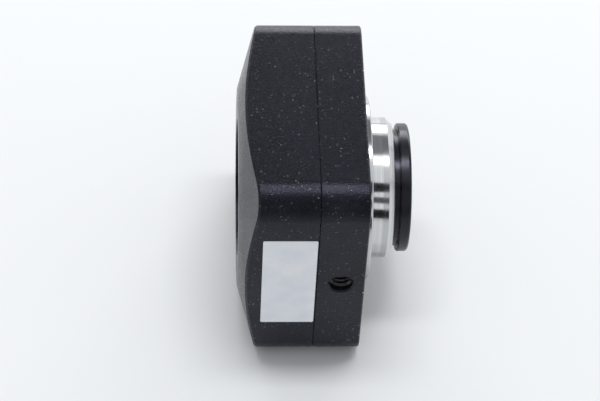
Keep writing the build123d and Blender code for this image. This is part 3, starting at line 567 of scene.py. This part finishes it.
# Thread radius, head radius, radius under the head, head height and key radius in mm, and the way the head faces.
SCREW_SIZES = {
    "shell_screws": (1.5, 2.75, 2.75, 3.0, 1.44, 1),
    "ring_screws": (1.25, 2.25, 1.25, 1.0, 0.85, 1),
    "board_screws": (1.25, 2.2, 2.2, 1.5, 0.9, 1),
    "cooler_screws": (1.25, 2.2, 2.2, 1.5, 0.9, -1),
    "sensor_board_screws": (1.0, 1.9, 1.9, 1.3, 0.85, -1),
    "fan_screws": (1.5, 2.8, 1.5, 1.3, 1.15, -1),
}
SCREW_INPUTS = ("Thread Radius", "Head Radius", "Seat Radius", "Head Height", "Key Radius", "Length", "Width", "Height")


def screw_tree():
    """Four socket screws at the corners of a rectangle, heads up, with their tops at the origin's level."""
    tree = bpy.data.node_groups.new("four_socket_screws", "GeometryNodeTree")
    for name in SCREW_INPUTS:
        tree.interface.new_socket(name, in_out="INPUT", socket_type="NodeSocketFloat")
    tree.interface.new_socket("Material", in_out="INPUT", socket_type="NodeSocketMaterial")
    tree.interface.new_socket("Geometry", in_out="OUTPUT", socket_type="NodeSocketGeometry")
    given = add_node(tree, "NodeGroupInput").outputs

    def lowered(shape, height, share):
        down = add_node(tree, "ShaderNodeMath", {0: height, 1: -share}, operation="MULTIPLY")
        place = add_node(tree, "ShaderNodeCombineXYZ", {"Z": down.outputs[0]})
        moved = add_node(tree, "GeometryNodeTransform", {"Geometry": shape, "Translation": place.outputs[0]})
        return moved.outputs["Geometry"]

    head = add_node(tree, "GeometryNodeMeshCone", {
        "Vertices": 48, "Radius Top": given["Head Radius"], "Radius Bottom": given["Seat Radius"],
        "Depth": given["Head Height"]})
    shank = add_node(tree, "GeometryNodeMeshCylinder", {
        "Vertices": 32, "Radius": given["Thread Radius"], "Depth": given["Length"]})
    key = add_node(tree, "GeometryNodeMeshCylinder", {
        "Vertices": 6, "Radius": given["Key Radius"], "Depth": given["Head Height"]})
    # The shank stops just short of its top, so that the two never share a face.
    solid = add_node(tree, "GeometryNodeMeshBoolean", operation="UNION", solver="EXACT")
    tree.links.new(lowered(head.outputs["Mesh"], given["Head Height"], 1.0), solid.inputs["Mesh 2"])
    tree.links.new(lowered(shank.outputs["Mesh"], given["Length"], 0.53), solid.inputs["Mesh 2"])
    cut = add_node(tree, "GeometryNodeMeshBoolean", {
        "Mesh 1": solid.outputs["Mesh"], "Mesh 2": lowered(key.outputs["Mesh"], given["Head Height"], 0.05)},
        operation="DIFFERENCE", solver="EXACT")
    corners = add_node(tree, "GeometryNodeMeshGrid", {
        "Vertices X": 2, "Vertices Y": 2, "Size X": given["Height"], "Size Y": given["Width"]})
    copies = add_node(tree, "GeometryNodeInstanceOnPoints", {
        "Points": corners.outputs["Mesh"], "Instance": cut.outputs["Mesh"]})
    real = add_node(tree, "GeometryNodeRealizeInstances", {"Geometry": copies.outputs["Instances"]})
    dressed = add_node(tree, "GeometryNodeSetMaterial", {
        "Geometry": real.outputs["Geometry"], "Material": given["Material"]})
    add_node(tree, "NodeGroupOutput", {"Geometry": dressed.outputs["Geometry"]})
    return tree


class CAMERA_OT_screws(PieceOperator):
    """Make the socket screws"""

    bl_idname = "astro_camera.screws"
    bl_label = "Screws"

    def execute(self, context):
        # Black oxide on alloy steel: almost black, oily, worn where a key has turned.
        black = worked_metal("screw_black_oxide_steel", "#131314", "#2C2C2E", 0.5, 0.36)
        # Passivated stainless steel: pale grey with faint turning marks.
        bright = turned_metal("screw_stainless_steel", "#B9B8B4", 0.15, 0.24)
        tree = screw_tree()
        sockets = {item.name: item.identifier for item in tree.interface.items_tree if item.in_out == "INPUT"}
        for node, (thread, head, seat, height, key, facing) in SCREW_SIZES.items():
            low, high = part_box(node)
            span = high - low
            sizes = [size * MM for size in (thread, head, seat, height, key)]
            sizes += [(high.x - low.x) / 1.03, span.y - 2 * head * MM, span.z - 2 * head * MM]
            material = black if slot_of(node) == "black_screw" else bright
            piece = link(f"{node}_made", bpy.data.meshes.new(f"{node}_made"))
            screws = piece.modifiers.new("screws", "NODES")
            screws.node_group = tree
            for name, size in zip(SCREW_INPUTS, sizes):
                screws[sockets[name]] = size
            screws[sockets["Material"]] = material
            bake(piece)
            top = high.x if facing > 0 else low.x
            turn = Matrix.Rotation(math.radians(90 * facing), 4, "Y")
            piece.data.transform(Matrix.Translation((top, 0, 0)) @ turn)
            settle(piece, material, slot_of(node), node, bevel_mm=0.1)
        return {"FINISHED"}


class CAMERA_OT_window(PieceOperator):
    """Finish the chamber window, its retainer and the seals"""

    bl_idname = "astro_camera.window"
    bl_label = "Window and Seals"

    def execute(self, context):
        look = context.scene.camera_housing
        # Fused silica with a thin coating that turns its reflection green and violet.
        finish_node("window_glass", clear_optic("window_coated_silica", "#FAFFFD", 0.0, 320.0))
        finish_node("sensor_cover_glass", clear_optic("cover_borosilicate", "#F8FCFF", 0.0, 260.0))
        finish_node("window_retainer", blasted_anodising(
            "retainer_blasted_black_anodising", look.dark, look.light, look.grain, look.roughness))
        # Nitrile rubber: deep black, dull, with a talc bloom.
        rubber = pored("seal_nitrile_rubber", "#101011", "#1D1D1E", 0.4, 0.75, 0.01)
        for node in ("window_o_ring", "mount_o_ring", "chamber_gasket", "shell_gasket"):
            finish_node(node, rubber)
        return {"FINISHED"}


class CAMERA_OT_sensor(PieceOperator):
    """Finish the sensor and what stands around it"""

    bl_idname = "astro_camera.sensor"
    bl_label = "Sensor Chamber"

    def execute(self, context):
        finish_node("sensor_die", silicon_die("sensor_ruled_silicon"))
        # Alumina: fired, off-white, minutely pored.
        finish_node("sensor_package", pored("package_fired_alumina", "#77726A", "#8E887D", 0.3, 0.55, 0.006))
        finish_node("desiccant_tablet", pored("desiccant_pressed_clay", "#D8D4C8", "#EFEDE4", 0.5, 0.9, 0.04))
        finish_node("sensor_board", solder_mask("sensor_board_solder_mask", "#0C2A18", "#17492A"))
        return {"FINISHED"}


class CAMERA_OT_cooler(PieceOperator):
    """Finish the cooler, its leads and the heat sink"""

    bl_idname = "astro_camera.cooler"
    bl_label = "Cooler"

    def execute(self, context):
        looks = {
            # Milled copper: warm, faintly streaked by the cutter.
            "cold_finger": worked_metal("cold_finger_milled_copper", "#8C4F33", "#C4714A", 0.4, 0.28, (1, 8, 1)),
            # Alumina faces and bismuth telluride legs of the heat pump.
            "cooler_cold_plate": pored("cold_plate_fired_alumina", "#DAD7CF", "#EFEDE8", 0.3, 0.5, 0.005),
            "cooler_hot_plate": pored("hot_plate_fired_alumina", "#D6D2C8", "#ECE9E2", 0.3, 0.5, 0.005),
            "cooler_pellets": worked_metal("pellet_bismuth_telluride", "#4B4C50", "#7A7B80", 0.3, 0.45),
            # Closed-cell foam: dark grey, soft, full of small cells.
            "cooler_foam": pored("foam_closed_cell", "#2B2B2D", "#47474A", 0.7, 0.95, 0.15),
            # Extruded aluminium, clear anodised, drawn along the fins.
            "heat_sink": worked_metal("heat_sink_extruded_aluminium", "#8F9092", "#B8B9BA", 0.35, 0.34, (6, 6, 0.6)),
            "cooler_standoffs": moulded_plastic("standoff_nylon", "#D9D4C7", "#E8E4DA", 0.3, 0.5),
            "cooler_leads": moulded_plastic("cooler_lead_silicone", "#8E1410", "#A81C16", 0.4, 0.5),
            "cooler_terminal": moulded_plastic("terminal_moulding", "#1C1D1F", "#28292B", 0.3, 0.5),
        }
        for node, material in looks.items():
            finish_node(node, material)
        return {"FINISHED"}


class CAMERA_OT_electronics(PieceOperator):
    """Finish the main board and what is soldered to it"""

    bl_idname = "astro_camera.electronics"
    bl_label = "Main Board"

    def execute(self, context):
        looks = {
            "main_board": solder_mask("main_board_solder_mask", "#0B2817", "#164527"),
            # Epoxy chip packages and moulded connectors.
            "board_chips": moulded_plastic("chip_moulded_epoxy", "#17181A", "#212224", 0.2, 0.6),
            "board_link": moulded_plastic("board_link_moulding", "#202123", "#2C2D30", 0.3, 0.5),
            "fan_header": moulded_plastic("fan_header_nylon", "#D8D3C4", "#E6E2D6", 0.3, 0.5),
            "fan_leads": moulded_plastic("fan_lead_vinyl", "#9A1512", "#B11E18", 0.4, 0.42),
        }
        for node, material in looks.items():
            finish_node(node, material)
        return {"FINISHED"}


class CAMERA_OT_ports(PieceOperator):
    """Finish the ports and the status light"""

    bl_idname = "astro_camera.ports"
    bl_label = "Ports"

    def execute(self, context):
        looks = {
            # Tin-plated sheet steel of the data port.
            "usb_socket": (worked_metal("usb_shell_plated_steel", "#8E8F91", "#BFC0C1", 0.4, 0.26, (1, 1, 6)), 0.12),
            "usb_insert": (moulded_plastic("usb_tongue_blue_moulding", "#1546A8", "#1D55C0", 0.3, 0.45), 0.1),
            "guide_socket": (moulded_plastic("guide_socket_moulding", "#17181A", "#222326", 0.35, 0.45), 0.12),
            "power_jack": (moulded_plastic("power_jack_moulding", "#151618", "#202124", 0.35, 0.42), 0.12),
            # Gold flash over nickel on the contacts.
            "guide_contacts": (worked_metal("contact_gold_flash", "#B58B3A", "#E0BC6A", 0.3, 0.22), 0.0),
            "power_pin": (worked_metal("power_pin_nickel", "#9C9C98", "#CFCFCA", 0.3, 0.2), 0.15),
            "status_light_pipe": (clear_optic("light_pipe_polycarbonate", "#EAF4EA", 0.12), 0.0),
        }
        for node, (material, bevel_mm) in looks.items():
            finish_node(node, material, bevel_mm)
        return {"FINISHED"}


class CAMERA_OT_fan(PieceOperator):
    """Finish the fan and its guard"""

    bl_idname = "astro_camera.fan"
    bl_label = "Cooling Fan"

    def execute(self, context):
        plastic = context.scene.camera_fan.plastic
        looks = {
            # Punched steel under black powder coat: softly pebbled.
            "fan_guard": pored("guard_powder_coat", "#151516", "#232325", 0.35, 0.5, 0.02),
            # Glass-filled polyester: black, slightly grey from its fibres.
            "fan_frame": moulded_plastic("fan_frame_glass_filled", plastic, "#262628", 0.4, 0.48, 0.015),
            "fan_rotor": moulded_plastic("fan_rotor_glass_filled", plastic, "#2A2A2C", 0.4, 0.42, 0.012),
            "fan_stator": worked_metal("stator_enamelled_copper", "#6E3320", "#B0603A", 0.25, 0.35, (1, 1, 5)),
            "fan_bearing": worked_metal("bearing_sintered_bronze", "#6F5530", "#A07C48", 0.3, 0.4),
            "fan_magnet": pored("magnet_bonded_ferrite", "#2A2827", "#3A3836", 0.3, 0.6, 0.01),
            "fan_shaft": turned_metal("shaft_ground_steel", "#C2C2BF", 0.1, 0.15),
        }
        for node, material in looks.items():
            finish_node(node, material)
        return {"FINISHED"}


# ---- Stage
CAMERA_ELEVATION = math.radians(50.56)
CAMERA_AZIMUTH = math.radians(-4.2)
CAMERA_ROLL = math.radians(3.27)
CAMERA_DISTANCE = 630.7 * MM
CAMERA_OFFSET = (16.48 * MM, 3.74 * MM)
CAMERA_LENS = 136.0


def view_axes():
    """Right, up and backward directions of the camera."""
    back = Vector((
        math.sin(CAMERA_AZIMUTH) * math.cos(CAMERA_ELEVATION),
        -math.cos(CAMERA_AZIMUTH) * math.cos(CAMERA_ELEVATION),
        math.sin(CAMERA_ELEVATION)))
    level = Vector((math.cos(CAMERA_AZIMUTH), math.sin(CAMERA_AZIMUTH), 0.0))
    rise = back.cross(level)
    right = level * math.cos(CAMERA_ROLL) + rise * math.sin(CAMERA_ROLL)
    up = rise * math.cos(CAMERA_ROLL) - level * math.sin(CAMERA_ROLL)
    return right, up, back


def add_camera():
    right, up, back = view_axes()
    data = bpy.data.cameras.new("view")
    data.lens = CAMERA_LENS
    data.sensor_width = 36.0
    data.clip_start = 0.01
    camera = bpy.data.objects.new("view", data)
    bpy.context.scene.collection.objects.link(camera)
    aim = Vector((FRONT_X, 0, 0))
    place = aim + back * CAMERA_DISTANCE - right * CAMERA_OFFSET[0] - up * CAMERA_OFFSET[1]
    turn = Matrix((right, up, back)).transposed().to_4x4()
    camera.matrix_world = Matrix.Translation(place) @ turn
    bpy.context.scene.camera = camera


def add_lamp(name, place, size, power, target=(0, 0, 0), tint=(1, 1, 1)):
    data = bpy.data.lights.new(name, "AREA")
    data.shape = "RECTANGLE"
    data.size, data.size_y = size
    data.energy = power
    data.color = tint
    lamp = bpy.data.objects.new(name, data)
    bpy.context.scene.collection.objects.link(lamp)
    lamp.location = place
    lamp.rotation_euler = (Vector(place) - Vector(target)).to_track_quat("Z", "Y").to_euler()
    return lamp


def add_world():
    """An even pale surround: white to the eye and in reflections, and much lower as light on the pieces."""
    world = bpy.data.worlds.new("surround")
    bpy.context.scene.world = world
    world.use_nodes = True
    tree = world.node_tree
    ground = tree.nodes["Background"]
    path = add_node(tree, "ShaderNodeLightPath")
    seen = add_node(tree, "ShaderNodeMath", {
        0: path.outputs["Is Camera Ray"], 1: path.outputs["Is Glossy Ray"]}, operation="MAXIMUM")
    seen = add_node(tree, "ShaderNodeMath", {
        0: seen.outputs[0], 1: path.outputs["Is Transmission Ray"]}, operation="MAXIMUM")
    level = add_node(tree, "ShaderNodeMapRange", {"Value": seen.outputs[0], "To Min": 0.5, "To Max": 0.96})
    ground.inputs["Color"].default_value = linear("#FAFCFF")
    tree.links.new(level.outputs["Result"], ground.inputs["Strength"])


def add_floor(look):
    reach = 3.0
    z = CAD_BOX[0][2]
    corners = [(-reach, -reach, z), (reach, -reach, z), (reach, reach, z), (-reach, reach, z)]
    floor = link("floor", mesh_from("floor", corners, [(0, 1, 2, 3)]))
    floor.data.materials.append(paper("floor_seamless_paper", look.floor))


def add_card(name, low, high, shade):
    """A long card bent about the optical axis, between two angles from overhead towards the label's side.

    It shows only in reflections, as the dark bands on the turned ring."""
    reach, radius, steps = 3.0, 1.25, 8
    corners, faces = [], []
    for k in range(steps + 1):
        turn = math.radians(low + (high - low) * k / steps)
        y, z = -radius * math.sin(turn), radius * math.cos(turn)
        corners += [(-reach, y, z), (reach, y, z)]
        if k:
            faces.append((2 * k - 2, 2 * k - 1, 2 * k + 1, 2 * k))
    card = link(name, mesh_from(name, corners, faces))
    material, tree, shader, place = start(f"{name}_board", "#000000", 1.0, Specular_IOR_Level=0.0)
    shader.inputs["Emission Color"].default_value = linear(shade)
    shader.inputs["Emission Strength"].default_value = 1.0
    card.data.materials.append(material)
    card.visible_camera = False
    card.visible_diffuse = False
    card.visible_shadow = False
    card.visible_transmission = False


class CAMERA_OT_stage(PieceOperator):
    """Set up the floor, the surround, the lamps and the view"""

    bl_idname = "astro_camera.stage"
    bl_label = "Stage"

    def execute(self, context):
        look = context.scene.camera_stage
        add_camera()
        add_world()
        add_floor(look)
        add_card("back_card", -54, -14, "#86888C")
        add_card("view_card", 33, 48, "#26272A")
        add_card("low_card", 56, 66, "#56575B")
        add_card("front_card", 76, 92, "#1B1C1F")
        add_lamp("key", (0.1, 1.1, 0.36), (1.6, 0.38), look.key, (-0.02, 0, 0))
        add_lamp("top", (-0.02, 0.06, 0.95), (0.6, 0.13), look.top, (-0.02, 0, 0))
        context.scene.view_settings.view_transform = "Standard"
        return {"FINISHED"}


class CAMERA_PT_pieces(bpy.types.Panel):
    """Lists the operators and the settings that they read"""

    bl_label = "Camera Body"
    bl_idname = "CAMERA_PT_pieces"
    bl_space_type = "VIEW_3D"
    bl_region_type = "UI"
    bl_category = "Camera Body"

    def draw(self, context):
        for operator in OPERATORS:
            self.layout.operator(operator.bl_idname)
        for key, group in SETTINGS.items():
            box = self.layout.box()
            for name in group.__annotations__:
                box.prop(getattr(context.scene, key), name)


SETTINGS = {
    "camera_housing": HousingSettings,
    "camera_lens_end": LensEndSettings,
    "camera_fan": FanSettings,
    "camera_stage": StageSettings,
}
OPERATORS = (
    CAMERA_OT_housing,
    CAMERA_OT_label,
    CAMERA_OT_threads,
    CAMERA_OT_lens_ring,
    CAMERA_OT_dust_cap,
    CAMERA_OT_screws,
    CAMERA_OT_window,
    CAMERA_OT_sensor,
    CAMERA_OT_cooler,
    CAMERA_OT_electronics,
    CAMERA_OT_ports,
    CAMERA_OT_fan,
    CAMERA_OT_stage,
)


def register():
    for group in SETTINGS.values():
        bpy.utils.register_class(group)
    for key, group in SETTINGS.items():
        setattr(bpy.types.Scene, key, bpy.props.PointerProperty(type=group))
    for operator in OPERATORS:
        bpy.utils.register_class(operator)
    bpy.utils.register_class(CAMERA_PT_pieces)


def unregister():
    bpy.utils.unregister_class(CAMERA_PT_pieces)
    for operator in reversed(OPERATORS):
        bpy.utils.unregister_class(operator)
    for key, group in SETTINGS.items():
        delattr(bpy.types.Scene, key)
        bpy.utils.unregister_class(group)


def main():
    register()
    for operator in OPERATORS:
        section, name = operator.bl_idname.split(".")
        getattr(getattr(bpy.ops, section), name)()


if __name__ == "__main__":
    main()
